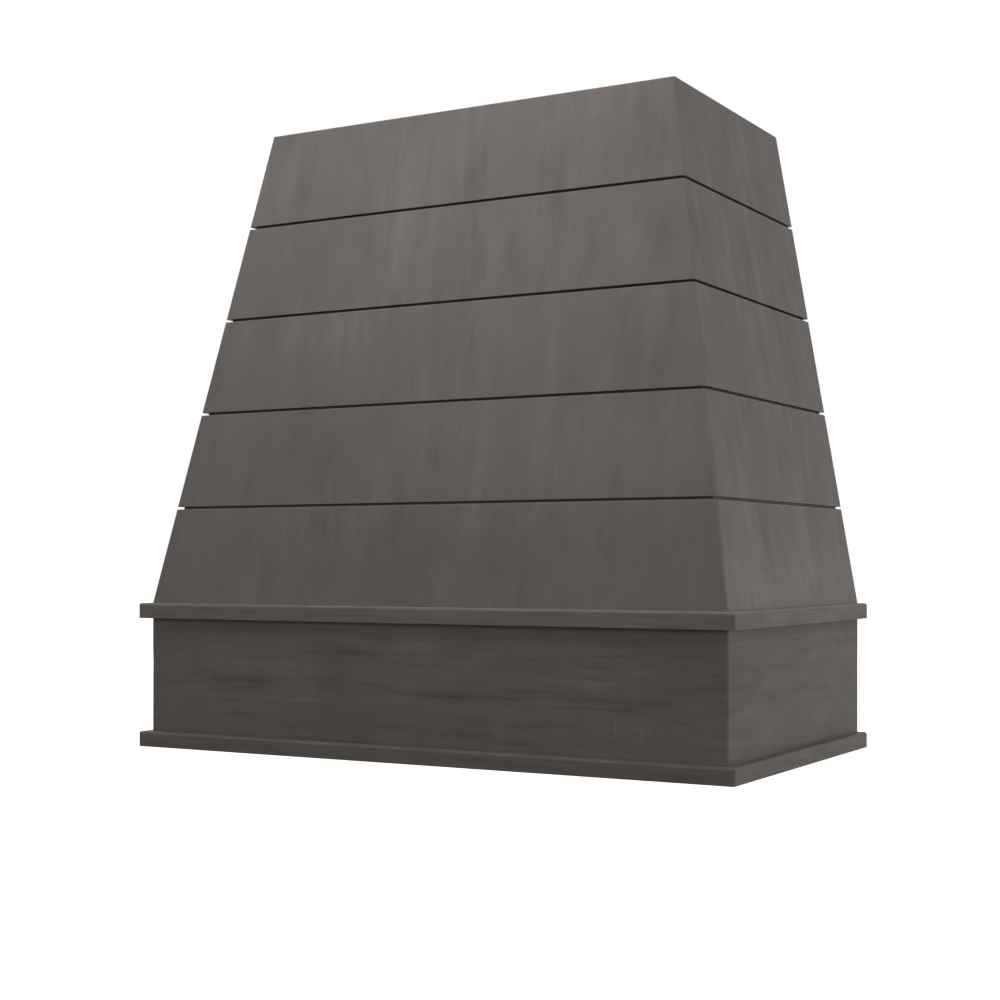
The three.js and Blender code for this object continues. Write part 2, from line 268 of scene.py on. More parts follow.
def volume(points, faces):
    """Signed volume inside closed faces: the sum of the tetrahedra from the origin to a fan over each
    face."""
    total = 0.0
    for size in {len(face) for face in faces}:
        ring = points[np.array([face for face in faces if len(face) == size])]
        first, second, third = ring[:, :1], ring[:, 1:-1], ring[:, 2:]
        total += np.einsum("fij,fij->", first * np.ones_like(second), np.cross(second, third))
    return total / 6


def add_piece(name, grid, material, grain=None):
    """A closed piece in place of the CAD node of that name. A board's grain attribute holds, for each
    point, the distance across the grain, through the board and along the grain."""
    points, faces = grid.reshape(-1, 3), skin(grid)
    if volume(points, faces) < 0:
        faces = [face[::-1] for face in faces]
    mesh = bpy.data.meshes.new(name + "_finished")
    mesh.from_pydata(points, [], faces)
    if grain is not None:
        mesh.attributes.new("grain", "FLOAT_VECTOR", "POINT").data.foreach_set("vector", grain.ravel())
    mesh.shade_smooth()
    mesh.set_sharp_from_angle(angle=SHARP_FROM)
    mesh.materials.append(material)
    piece = bpy.data.objects.new(name + "_finished", mesh)
    bpy.context.scene.collection.objects.link(piece)
    even = piece.modifiers.new("Even shading", "WEIGHTED_NORMAL")
    even.keep_sharp = True
    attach(piece, "root")
    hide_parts(name)
    return piece


def board_grid(form, sizes, face, outline, radius):
    """Grid of a mitred board on the front or on a side."""
    if face == "front":
        return along_front(form, outline, radius, sizes.mitre_gap)
    return along_side(form, SIDES[face], outline, radius, sizes.mitre_gap, sizes.end_round)


def depth_in(form, face, grid):
    """Level depth of every point behind the form's face."""
    x, y, z = grid[..., 0], grid[..., 1], grid[..., 2]
    return y - form.front(z) if face == "front" else form.half_width(z) - np.abs(x)


def round_the_corner(form, face, grid):
    """Distance of every point along a board that runs round the three faces in one length: x on the
    front, and past the corner the distance behind it."""
    if face == "front":
        return grid[..., 0]
    return SIDES[face] * (form.half + grid[..., 1] - form.front(0))


def upright_grain(form, face, grid):
    """Grain that runs up a face. The sheets on the three faces are different ones."""
    across = grid[..., 0] if face == "front" else grid[..., 1] + SHEETS_APART * SIDES[face]
    return np.stack([across, depth_in(form, face, grid), grid[..., 2]], axis=-1)


def level_grain(form, face, grid, board_number):
    """Grain that runs round the three faces. The two trims share a figure, so their numbers differ."""
    across = grid[..., 2] + BOARDS_APART * board_number
    return np.stack([across, depth_in(form, face, grid), round_the_corner(form, face, grid)], axis=-1)


def plank_outline(sizes, course):
    """One course as [depth, level]: a face with eased arrises, a tongue up the back of all but the
    highest, and a lip over the tongue below on all but the lowest."""
    lowest, highest = course == 1, course == sizes.courses
    pitch = (sizes.height - sizes.taper_base) / sizes.courses
    bottom = sizes.taper_base + (course - 1) * pitch + (0 if lowest else sizes.plank_gap / 2)
    top = sizes.taper_base + course * pitch - (0 if highest else sizes.plank_gap / 2)
    back, lap = sizes.plank, sizes.lap_depth
    lip = lap - sizes.lap_play
    lip_top = bottom - sizes.plank_gap + sizes.tongue + sizes.lap_play
    foot = [[back, bottom]] if lowest else [[lip, bottom], [lip, lip_top], [back, lip_top]]
    tongue_top = top + sizes.tongue
    head = [[back, top]] if highest else [[back, tongue_top], [lap, tongue_top], [lap, top]]
    face = [[0, top], [0, bottom]]
    radii = [0] * (len(foot) + len(head)) + [sizes.plank_round, 0 if lowest else sizes.plank_ease]
    return eased(foot + head + face, radii)


def trim_outline(sizes, bottom):
    """A trim on the face of the band, its upper arris rounded and its lower one only eased."""
    top, out = bottom + sizes.trim_height, -sizes.trim_projection
    corners = [[0, bottom], [0, top], [out, top], [out, bottom]]
    return eased(corners, [sizes.plank_ease, 0, sizes.trim_round, sizes.plank_ease])


def screw_grid(length, around=48):
    """(distance from the head's face, radius, angle) of a countersunk screw, from the middle of its
    head to its tip. The cross recess is as deep as a point lies inside both arms' width and reach. The
    thread's radius is core + (crest - core) * ridge, where ridge is a saw tooth of the distance in
    turns less the angle in turns, and it all narrows to a point over the tip."""
    steepness, point = 3.2, 0.03
    angle = np.arange(around) * 2 * math.pi / around
    ring = np.ones(around)
    radius = np.linspace(RECESS["middle"], SCREW["head"], 16)[:, None] * ring
    across, out = np.sort(np.abs([radius * np.cos(angle), radius * np.sin(angle)]), axis=0)
    inside = np.clip((RECESS["arm"] - across) / RECESS["arm_wall"], 0, 1)
    inside = inside * np.clip((RECESS["reach"] - out) / RECESS["end_wall"], 0, 1)
    face = np.stack([inside * RECESS["depth"], radius], axis=-1)
    rim = [
        [SCREW["rim"], SCREW["head"]],
        [SCREW["cone"], SCREW["crest"]],
        [SCREW["shank"], SCREW["crest"]],
    ]
    cone = np.array(rim)[:, None] * ring[:, None]
    along = np.arange(SCREW["thread"], length - SCREW["ring_step"] / 4, SCREW["ring_step"])[:, None] * ring
    tooth = np.abs((along / SCREW["pitch"] - angle / (2 * math.pi)) % 1 - 0.5)
    ridge = np.clip(1 - steepness * tooth, 0, 1)
    taper = np.clip((length - along) / SCREW["tip"], point, 1)
    thread = taper * (SCREW["core"] + (SCREW["crest"] - SCREW["core"]) * ridge)
    grid = np.concatenate([face, cone, np.stack([along, thread], axis=-1)])
    return grid[..., 0], grid[..., 1], np.broadcast_to(angle, grid.shape[:2])


def screw_in_place(low, high):
    """Grid of a screw that fills the box of a CAD screw, along its longest side, head at the low end."""
    low, high = np.array(low), np.array(high)
    axis = int(np.argmax(high - low))
    distance, radius, angle = screw_grid(high[axis] - low[axis])
    points = np.empty((*distance.shape, 3))
    points[...] = (low + high) / 2
    points[..., axis] = low[axis] + distance
    points[..., (axis + 1) % 3] += radius * np.cos(angle)
    points[..., (axis + 2) % 3] += radius * np.sin(angle)
    return points


# ---------------------------------------------------------------- shader arithmetic


class Value:
    """A node's output. Arithmetic on it adds a Math node and gives that node's output."""

    def __init__(self, shader, socket):
        self.shader = shader
        self.socket = socket

    def math(self, operation, *values):
        return self.shader.node("ShaderNodeMath", {"operation": operation}, dict(enumerate(values)))

    def __add__(self, other):
        return self.math("ADD", self, other)

    def __sub__(self, other):
        return self.math("SUBTRACT", self, other)

    def __rsub__(self, other):
        return self.math("SUBTRACT", other, self)

    def __mul__(self, other):
        return self.math("MULTIPLY", self, other)

    def __abs__(self):
        return self.math("ABSOLUTE", self)

    __radd__ = __add__
    __rmul__ = __mul__

    def power(self, exponent):
        return self.math("POWER", self, exponent)

    def sine(self):
        return self.math("SINE", self)

    def fraction(self):
        return self.math("FRACT", self)

    def at_least(self, other):
        return self.math("MAXIMUM", self, other)


class Shader:
    """A material's or the world's node tree."""

    def __init__(self, tree):
        self.tree = tree
        tree.nodes.clear()

    def node(self, kind, settings=(), inputs=(), output=0):
        """Adds one node: its settings first, then the values or links of its sockets."""
        made = self.tree.nodes.new(kind)
        for name, value in dict(settings).items():
            setattr(made, name, value)
        for name, value in dict(inputs).items():
            socket = made.inputs[name]
            if isinstance(value, Value):
                self.tree.links.new(value.socket, socket)
            elif socket.type == "RGBA":
                socket.default_value = (*value, 1.0)
            else:
                socket.default_value = value
        return Value(self, made.outputs[output]) if made.outputs else None

    def parts(self, vector):
        """The three components of a vector."""
        first = self.node("ShaderNodeSeparateXYZ", inputs={0: vector})
        return [first] + [Value(self, first.socket.node.outputs[i]) for i in (1, 2)]

    def vector(self, x, y, z):
        return self.node("ShaderNodeCombineXYZ", inputs={0: x, 1: y, 2: z})

    def stretched(self, vector, cell):
        """A vector counted in cells of the given size in metres along each direction."""
        per_metre = [1 / size for size in cell]
        return self.node("ShaderNodeVectorMath", {"operation": "MULTIPLY"}, {0: vector, 1: per_metre})

    def shifted(self, vector, offset):
        return self.node("ShaderNodeVectorMath", {"operation": "ADD"}, {0: vector, 1: offset})

    def noise(self, vector, detail=2.0, roughness=0.5):
        """Smooth noise about 0, mostly within -0.5 to 0.5."""
        inputs = {"Vector": vector, "Scale": 1.0, "Detail": detail, "Roughness": roughness}
        return self.node("ShaderNodeTexNoise", inputs=inputs) - 0.5

    def step(self, value, low, high):
        """0 below low, 1 above high and smooth between."""
        inputs = {"Value": value, "From Min": low, "From Max": high}
        return self.node("ShaderNodeMapRange", {"interpolation_type": "SMOOTHSTEP"}, inputs)

    def mix(self, factor, first, second):
        """A colour between two."""
        inputs = {0: factor, 6: first, 7: second}
        return self.node("ShaderNodeMix", {"data_type": "RGBA"}, inputs, output=2)

    def shade(self, colour_, factor):
        """A colour times a number."""
        grey = self.vector(factor, factor, factor)
        return self.node("ShaderNodeVectorMath", {"operation": "MULTIPLY"}, {0: colour_, 1: grey})

    def surface(self, inputs, height=None, relief=0.0):
        """The Principled surface, with a bump of that relief in metres if a height is given."""
        if height is not None:
            settings = {"Strength": 1.0, "Distance": relief, "Height": height}
            inputs = {**inputs, "Normal": self.node("ShaderNodeBump", inputs=settings)}
        principled = self.node("ShaderNodeBsdfPrincipled", inputs=inputs)
        self.node("ShaderNodeOutputMaterial", inputs={"Surface": principled})


def new_shader(name):
    """A new material and its shader."""
    material = bpy.data.materials.new(name)
    material.use_nodes = True
    return material, Shader(material.node_tree)


# ---------------------------------------------------------------- finishes


def stained_maple(name, stain, figure, seed, strength=1.0):
    """Maple under a grey-brown wiping stain and a matt clear coat, on the grain attribute.

    The figure gives sizes across and along the grain in metres, and strengths as shares of the tone.
    Soft layers of noise lie everywhere, all but the broadest weaker in calm places, and only a share of
    the fine ones is left there. Light and dark patches are where a noise is high. Dark lines wander
    along the grain where a slow noise passes through zero, flecks are short and dark, and marks are
    short, light and lie across the grain. Clouds shift the hue from cool to warm. A streak lies at a
    given place on the sheet: with d the distance from its middle, counted in its half width and half
    length and disturbed by a noise, its share of the tone fades out between 0.2 and 1.2; most streaks are
    the wood's, and some broad ones are painted light and painted shade. Deep inside the boards, as in the
    gaps, the wood is darkened by painted shade, in low gaps by less because of painted light."""
    material, s = new_shader(name)
    place = s.node("ShaderNodeAttribute", {"attribute_name": "grain"}, output=1)
    sheet_across, sheet_depth, sheet_along = s.parts(place)
    # Where the painted shade deep inside the boards comes in
    inside = s.step(sheet_depth, *PAINTED_SHADE_DEPTH)
    grain = s.shifted(place, (seed * 1.7, seed * 0.9, seed * 2.3))
    across, depth, along = s.parts(grain)
    sway = s.noise(s.stretched(grain, SWAY_CELL), detail=1.0) * figure["sway"]
    lines = s.vector(across + sway, depth, along)

    def layer(number, size, detail=2.0, on=lines):
        moved = s.shifted(on, (0.37 * number, 0, 0.53 * number))
        return s.noise(s.stretched(moved, (size[0], DEPTH_CELL, size[1])), detail=detail)

    def patches(number, size, low=0.02, high=0.24):
        return s.step(layer(number, size), low, high) * size[2]

    swayed = s.vector(sheet_across + sway, sheet_depth, sheet_along)
    wobble = layer(18, figure["wobble"]) * 1.6

    def streak(across_at, along_at, half_width, half_length, share):
        centred = s.shifted(swayed, (-across_at, 0, -along_at))
        near = s.stretched(centred, (half_width, AT_ANY_DEPTH, half_length))
        distance = s.node("ShaderNodeVectorMath", {"operation": "LENGTH"}, {0: near}, output=1)
        return (1 - s.step(distance + wobble, 0.2, 1.2)) * share

    broad, *soft = [layer(number, size) * size[2] for number, size in enumerate(figure["soft"])]
    fine = [layer(5 + number, size) * size[2] for number, size in enumerate(figure["fine"])]
    rise = (sheet_along - 0.55) * figure["rise"]
    lively = s.step(layer(10, figure["lively"]) + rise, -0.08, 0.16) * (1 - figure["calm"]) + figure["calm"]
    ring = (1 - s.step(abs(layer(11, figure["ring"], on=grain)), 0.0, RING_EDGE)) * figure["ring"][2]
    ring = ring * s.step(layer(12, RING_PLACES), -0.08, 0.10)
    fleck = patches(13, figure["fleck"], 0.20, 0.30)
    mark = patches(14, figure["mark"], 0.24, 0.34)
    patch = patches(15, figure["light"]) - patches(16, figure["dark"])
    # Streaks of the figure, among them broad ones that are painted light and painted shade
    streaks_and_painted_light = sum(streak(*values) for values in figure["streaks_and_painted_light"])
    calmest, gain = SOFT_SHARE
    drawn = broad + sum(soft) * (calmest + lively * gain) + sum(fine) * lively
    tone = 1 + (drawn + patch - ring - fleck + mark) * strength + streaks_and_painted_light
    warmth = s.step(layer(17, figure["cloud"], on=grain), -0.16, 0.16)
    cool, warm = ([c * k for c, k in zip(stain, shift)] for shift in COOL_AND_WARM)
    colour_ = s.shade(s.mix(warmth, cool, warm), tone)
    # Painted shade deep inside the boards darkens the gaps; in low gaps painted light takes back part of it
    darkest, lit = figure["deep"]
    painted_shade_tone = darkest + (1 - s.step(sheet_along, *LIT_GAPS)) * (lit * strength)
    colour_ = s.mix(inside, colour_, s.shade(stain, painted_shade_tone))
    relief = fine[-1] - fleck
    s.surface(
        {"Base Color": colour_, "Roughness": 0.58 + sum(fine) * 0.5, "Specular IOR Level": 0.12},
        height=relief * 4,
        relief=GRAIN_RELIEF,
    )
    return material


COOL_AND_WARM = ((0.985, 1.010, 0.985), (1.022, 0.988, 0.998))
# Depths over which painted shade comes in inside the boards, and levels over which the painted light
# in low gaps fades out
PAINTED_SHADE_DEPTH = (0.0010, 0.0035)
LIT_GAPS = (0.25, 0.65)
# Sizes of the noise that bends the lines, of every noise through the board, and of a streak through it
SWAY_CELL = (0.22, 1.0, 0.30)
DEPTH_CELL = 0.05
AT_ANY_DEPTH = 1000.0
# Strength of the soft layers where the place isn't lively at all, and what a lively one adds
SOFT_SHARE = (0.45, 0.65)
# A dark line's edge in its noise, and the size of the places where such lines show
RING_EDGE = 0.025
RING_PLACES = (0.30, 0.10)
GRAIN_RELIEF = 0.00006
# Layers and patches: (size across, size along, strength). Streaks: (across, along, half width, half
# length, strength). "side" is the strength of the figure on the sides and the tone there, a painted shade
# that evens out the light of this studio on the sides; "sway" is how far the lines bend, "calm" what is
# left of the fine layers in calm places and "rise" how fast lively places get more common with height.
# "deep" is the tone inside the boards, a painted shade that darkens the gaps, and the painted light that
# low gaps add to it. Some broad streaks aren't the wood's but painted light and painted shade that even
# out the light of this studio: painted light along the head of the band, where it lifts the shadow under
# the upper trim, and along the left edge of the front, painted shade on the front's lowest course and
# painted light low on the right side's lowest course. Under other light they can be left out.
PLANK_FIGURE = {
    "side": (1.65, 0.955), "sway": 0.008, "deep": (0.58, 0.5),
    "soft": [(0.140, 0.60, 0.18), (0.060, 0.20, 0.26), (0.030, 0.050, 0.12)],
    "fine": [(0.016, 0.20, 0.28), (0.0060, 0.08, 0.18), (0.0020, 0.030, 0.18)],
    "calm": 0.18, "lively": (0.11, 0.24), "rise": 0.22,
    "light": (0.050, 0.22, 0.12), "dark": (0.042, 0.12, 0.11),
    "ring": (0.14, 0.75, 0.03), "fleck": (0.0024, 0.015, 0.20), "mark": (0.0030, 0.010, 0.10),
    "cloud": (0.035, 0.06), "wobble": (0.012, 0.030),
    "streaks_and_painted_light": [
        (-0.078, 0.800, 0.028, 0.160, 0.11), (0.008, 0.860, 0.013, 0.090, 0.08),
        (-0.042, 0.845, 0.005, 0.050, -0.08), (0.142, 0.800, 0.005, 0.110, -0.09),
        (0.200, 0.690, 0.048, 0.090, 0.05), (-0.160, 0.600, 0.070, 0.050, 0.07),
        (-0.158, 0.585, 0.007, 0.045, -0.10), (0.055, 0.580, 0.005, 0.035, -0.12),
        (0.105, 0.590, 0.032, 0.050, 0.06), (0.222, 0.450, 0.011, 0.050, 0.08),
        (-0.190, 0.385, 0.032, 0.030, -0.03), (-0.100, 0.320, 0.026, 0.050, 0.07),
        (2.800, 0.620, 0.017, 0.340, 0.07), (2.713, 0.650, 0.013, 0.240, 0.06),
        # (2.700, 0.205): painted light low on the right side's lowest course
        (2.752, 0.760, 0.020, 0.160, -0.06), (2.700, 0.205, 0.600, 0.110, 0.17),
        # (-0.050, 0.275): painted shade on the front's lowest course
        (-0.050, 0.275, 0.330, 0.100, -0.12), (-0.150, 0.420, 0.180, 0.085, -0.08),
        (0.340, 0.420, 0.140, 0.085, 0.10), (0.285, 0.845, 0.080, 0.090, -0.09),
        (2.660, 0.490, 0.220, 0.200, -0.06), (2.900, 0.850, 0.070, 0.090, 0.08),
        (2.550, 0.280, 0.070, 0.090, 0.05), (2.910, 0.280, 0.070, 0.090, 0.06),
        (-0.250, 0.600, 0.035, 0.050, 0.06), (0.310, 0.550, 0.060, 0.085, -0.05),
        (-0.040, 0.560, 0.055, 0.060, -0.04), (2.760, 0.560, 0.080, 0.070, -0.05),
        # (-0.340, 0.560): painted light along the left edge of the front
        (0.075, 0.420, 0.030, 0.080, -0.05), (-0.340, 0.560, 0.090, 0.450, 0.04),
    ],
}
BAND_FIGURE = {
    "side": (1.30, 0.80), "sway": 0.014, "deep": (0.75, 0.0),
    "soft": [(0.300, 0.050, 0.24), (0.042, 0.60, 0.36), (0.014, 0.45, 0.22), (0.034, 0.070, 0.28)],
    "fine": [(0.010, 0.16, 0.28), (0.0040, 0.08, 0.24), (0.0018, 0.030, 0.24)],
    "calm": 0.35, "lively": (0.05, 0.12), "rise": 0.0,
    "light": (0.022, 0.16, 0.16), "dark": (0.010, 0.16, 0.16),
    "ring": (0.075, 0.60, 0.14), "fleck": (0.0020, 0.011, 0.26), "mark": (0.014, 0.0026, 0.18),
    "cloud": (0.035, 0.07), "wobble": (0.010, 0.026),
    "streaks_and_painted_light": [
        (1.466, 0.060, 0.0075, 0.115, -0.22), (1.476, 0.170, 0.0060, 0.050, -0.15),
        (1.465, 0.300, 0.0045, 0.170, -0.14), (1.472, -0.280, 0.0060, 0.090, -0.17),
        (1.467, -0.420, 0.0045, 0.050, -0.10), (1.510, -0.250, 0.030, 0.100, 0.09),
        (1.515, 0.050, 0.035, 0.110, 0.11), (1.515, 0.280, 0.040, 0.090, 0.07),
        (1.420, 0.090, 0.022, 0.050, -0.11), (1.425, 0.180, 0.020, 0.050, -0.11),
        (1.520, 0.400, 0.030, 0.060, -0.03), (1.470, -0.130, 0.110, 0.055, -0.07),
        (1.430, 0.305, 0.018, 0.0016, 0.22), (1.420, 0.317, 0.012, 0.0014, 0.18),
        (1.440, 0.328, 0.016, 0.0016, 0.22), (1.425, 0.341, 0.020, 0.0016, 0.20),
        (1.432, 0.352, 0.010, 0.0014, 0.16), (1.486, 0.640, 0.0040, 0.130, 0.12),
        (1.468, 0.620, 0.0080, 0.200, -0.09), (1.515, 0.140, 0.030, 0.028, -0.11),
        (1.450, 0.700, 0.055, 0.100, -0.08), (1.505, 0.900, 0.040, 0.080, 0.08),
        # (1.552, 0.000): painted light along the head of the band, lifting the shadow under the upper trim
        (1.425, 0.900, 0.022, 0.080, -0.10), (1.552, 0.000, 0.020, 2.500, 0.14),
    ],
}
TRIM_FIGURE = {
    "side": (1.4, 0.92), "sway": 0.004, "deep": (0.75, 0.0),
    "soft": [(0.200, 0.070, 0.26), (0.014, 0.12, 0.30)],
    "fine": [(0.0060, 0.14, 0.46), (0.0030, 0.070, 0.42), (0.0016, 0.025, 0.24)],
    "calm": 0.60, "lively": (0.05, 0.16), "rise": 0.0,
    "light": (0.0060, 0.09, 0.12), "dark": (0.0050, 0.07, 0.14),
    "ring": (0.050, 0.40, 0.05), "fleck": (0.0018, 0.011, 0.18), "mark": (0.010, 0.0026, 0.10),
    "cloud": (0.030, 0.06), "wobble": (0.010, 0.026),
    "streaks_and_painted_light": [],
}


# Sizes in metres of the noises across, through and along the grain, the spacing of the growth rings,
# how much faster they close through the board, the square of the pith's distance, and the heartwood
POPLAR = {
    "wander": (0.05, 0.05, 0.45), "slow": (0.16, 0.16, 1.1), "fibre": (0.0013, 0.0013, 0.07),
    "ring": 0.0062, "squash": 2.2, "pith": 0.02, "green": (0.74, 0.82, 0.72),
}
# The same for birch plywood, with the spacing of the veneer's loops, the plies and the end grain
BIRCH = {
    "wander": (0.09, 0.03, 0.5), "fibre": (0.0012, 0.002, 0.04), "loop": 0.016,
    "plies": 5, "thickness": 0.0127, "veneer": (0.0006, 0.0010), "end_grain": (0.62, 0.55, 0.45),
}


def poplar(name, base, across, depth, along):
    """Sawn and planed poplar. The arguments pick the Object coordinate (0, 1, 2) that runs across,
    through and along the grain. Growth rings are sine waves of the distance from a far pith."""
    material, s = new_shader(name)
    place = s.node("ShaderNodeTexCoord", output=3)
    parts = s.parts(place)
    grain = s.vector(parts[across], parts[depth], parts[along])
    a, d, _ = s.parts(grain)
    wander = s.noise(s.stretched(grain, POPLAR["wander"]), detail=2.0)
    slow = s.noise(s.stretched(grain, POPLAR["slow"]), detail=1.0)
    pith = a * a + d * d * POPLAR["squash"] + POPLAR["pith"]
    ring_distance = pith.power(0.5) + wander * 0.018 + slow * 0.05
    rings = (ring_distance * (2 * math.pi / POPLAR["ring"])).sine()
    fibre = s.noise(s.stretched(grain, POPLAR["fibre"]), detail=2.0, roughness=0.6)
    heart = s.step(slow, 0.02, 0.20)
    green = [c * k for c, k in zip(base, POPLAR["green"])]
    colour_ = s.mix(heart * 0.7, base, green)
    colour_ = s.shade(colour_, 1 + rings * 0.035 + fibre * 0.16)
    s.surface(
        {"Base Color": colour_, "Roughness": 0.62 + fibre * 0.2, "Specular IOR Level": 0.3},
        height=fibre, relief=0.00008,
    )
    return material


def plywood(name, base, layer, across, along):
    """Birch plywood. Layer gives the distance through the sheet from the shader and the place's three
    parts; near the two faces it is veneer, and between them the plies alternate, with a dark line of
    glue between two. The veneer's loops are sine waves of the place across, moved by a noise."""
    plies, thickness = BIRCH["plies"], BIRCH["thickness"]
    material, s = new_shader(name)
    place = s.node("ShaderNodeTexCoord", output=3)
    parts = s.parts(place)
    depth = layer(s, parts)
    grain = s.vector(parts[across], depth, parts[along])
    wander = s.noise(s.stretched(grain, BIRCH["wander"]), detail=3.0)
    loops = ((parts[across] + wander * 0.16) * (2 * math.pi / BIRCH["loop"])).sine()
    fibre = s.noise(s.stretched(grain, BIRCH["fibre"]), detail=2.0, roughness=0.6)
    ply = (depth * (plies / thickness)).fraction()
    glue = s.step(abs(ply - 0.5), 0.41, 0.47)
    odd = s.step((depth * (plies * math.pi / thickness)).sine(), -0.15, 0.15)
    thin, thick = BIRCH["veneer"]
    through = s.step(depth, thin, thick) * (1 - s.step(depth, thickness - thick, thickness - thin))
    end_grain = [c * k for c, k in zip(base, BIRCH["end_grain"])]
    face = s.shade(base, 1 + loops * 0.05 + fibre * 0.14)
    inner = s.mix(odd, end_grain, s.shade(base, 0.92 + fibre * 0.2))
    inner = s.shade(inner, 1 - glue * 0.55)
    colour_ = s.mix(through, face, inner)
    s.surface(
        {"Base Color": colour_, "Roughness": 0.66 + fibre * 0.15, "Specular IOR Level": 0.3},
        height=fibre, relief=0.00006,
    )
    return material


def zinc_plate(base):
    """Zinc plate, slightly clouded."""
    material, s = new_shader("Zinc plate")
    place = s.node("ShaderNodeTexCoord", output=3)
    cloud = s.noise(s.stretched(place, (0.0016, 0.0016, 0.0016)), detail=2.0)
    colour_ = s.shade(base, 1 + cloud * 0.25)
    s.surface({"Base Color": colour_, "Metallic": 1.0, "Roughness": 0.34 + cloud * 0.2})
    return material


# ---------------------------------------------------------------- operators


class CoverOperator:
    """What the cover's operators share."""

    bl_options = {"REGISTER", "UNDO"}

    def settings(self, context):
        scene = context.scene
        return Form(scene.cover_sizes), scene.cover_sizes, scene.cover_colours

    def wood(self, name, stain, figure, seed):
        """Stained maple for each face. The boards on the sides have a stronger figure, and their own darker
        tone, a painted shade that evens out the light of this studio on the sides."""
        # The side copy's darker tone is painted shade
        strength, tone = figure["side"]
        front = stained_maple(f"Stained maple {name}", stain, figure, seed)
        side = stained_maple(f"Stained maple {name} side", [c * tone for c in stain], figure, seed, strength)
        return {"front": front, "left": side, "right": side}


class AddShiplap(CoverOperator, bpy.types.Operator):
    """Clad the leaning section in mitred courses of shiplap"""

    bl_idname = "hood_cover.add_shiplap"
    bl_label = "Add Shiplap"

    def execute(self, context):
        form, sizes, colours = self.settings(context)
        wood = self.wood("shiplap", colours.plank_stain, PLANK_FIGURE, 1)
        for course in range(1, sizes.courses + 1):
            outline = plank_outline(sizes, course)
            for face in FACES:
                grid = board_grid(form, sizes, face, outline, sizes.corner_round)
                grain = upright_grain(form, face, grid)
                add_piece(f"plank_{face}_{course}", grid, wood[face], grain)
        return {"FINISHED"}


class AddBand(CoverOperator, bpy.types.Operator):
    """Stand the straight band under the shiplap"""

    bl_idname = "hood_cover.add_band"
    bl_label = "Add Band"

    def execute(self, context):
        form, sizes, colours = self.settings(context)
        wood = self.wood("band", colours.band_stain, BAND_FIGURE, 2)
        corners = [[0, 0], [sizes.board, 0], [sizes.board, sizes.taper_base], [0, sizes.taper_base]]
        outline = eased(corners, [sizes.corner_round, 0, 0, 0])
        for face in FACES:
            grid = board_grid(form, sizes, face, outline, sizes.corner_round)
            add_piece(f"band_{face}", grid, wood[face], level_grain(form, face, grid, 1))
        return {"FINISHED"}


class AddTrims(CoverOperator, bpy.types.Operator):
    """Run a small trim round the foot and the head of the band"""

    bl_idname = "hood_cover.add_trims"
    bl_label = "Add Trims"

    def execute(self, context):
        form, sizes, colours = self.settings(context)
        trims = {
            "lower": (0, colours.lower_trim_stain),
            "upper": (sizes.taper_base - sizes.trim_height, colours.upper_trim_stain),
        }
        for number, (prefix, (bottom, stain)) in enumerate(trims.items()):
            wood = self.wood(prefix + " trim", stain, TRIM_FIGURE, 3)
            outline = trim_outline(sizes, bottom)
            for face in FACES:
                grid = board_grid(form, sizes, face, outline, sizes.trim_round)
                grain = level_grain(form, face, grid, number)
                add_piece(f"{prefix}_trim_{face}", grid, wood[face], grain)
        return {"FINISHED"}


def ease_edges(node, width):
    """Joins the CAD node's triangles into whole faces and eases its square edges."""
    weld = node.modifiers.new("Join", "WELD")
    weld.merge_threshold = 0.01 * MILLIMETRE
    flat = node.modifiers.new("Whole faces", "DECIMATE")
    flat.decimate_type = "DISSOLVE"
    flat.angle_limit = FLAT_WITHIN
    bevel = node.modifiers.new("Eased edges", "BEVEL")
    bevel.width = width
    bevel.segments = 2
    bevel.limit_method = "ANGLE"
    bevel.angle_limit = EASED_FROM


def finish_node(name, material, width=0.0):
    """Gives a CAD node its material and, if it has a width to ease, its eased edges."""
    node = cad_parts[name]
    node.data.materials.clear()
    node.data.materials.append(material)
    if width:
        ease_edges(node, width)


class FinishPlywood(CoverOperator, bpy.types.Operator):
    """Finish the plywood backing and the shelf"""

    bl_idname = "hood_cover.finish_plywood"
    bl_label = "Finish Plywood"

    def execute(self, context):
        form, sizes, colours = self.settings(context)
        backer_face = sizes.plank + BACKER_PLAY
        front_face = form.wall - form.depth - form.front_lean * form.taper_base + backer_face
        side_face = form.half + form.side_lean * form.taper_base - backer_face
        shelf_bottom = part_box("liner_shelf")[0].z
        layers = {
            "backer_front": (lambda s, p: p[1] - p[2] * form.front_lean - front_face, 0, 2),
            "backer_side": (lambda s, p: side_face - p[2] * form.side_lean - abs(p[0]), 1, 2),
            "liner_shelf": (lambda s, p: p[2] - shelf_bottom, 1, 0),
        }
        made = {
            name: plywood("Birch " + name.replace("_", " "), colours.plywood, *layer)
            for name, layer in layers.items()
        }
        sheets = {"backer_left": "backer_side", "backer_right": "backer_side"}
        for node in ("backer_front", *sheets, "liner_shelf"):
            finish_node(node, made[sheets.get(node, node)], sizes.lumber_ease / 2)
        return {"FINISHED"}


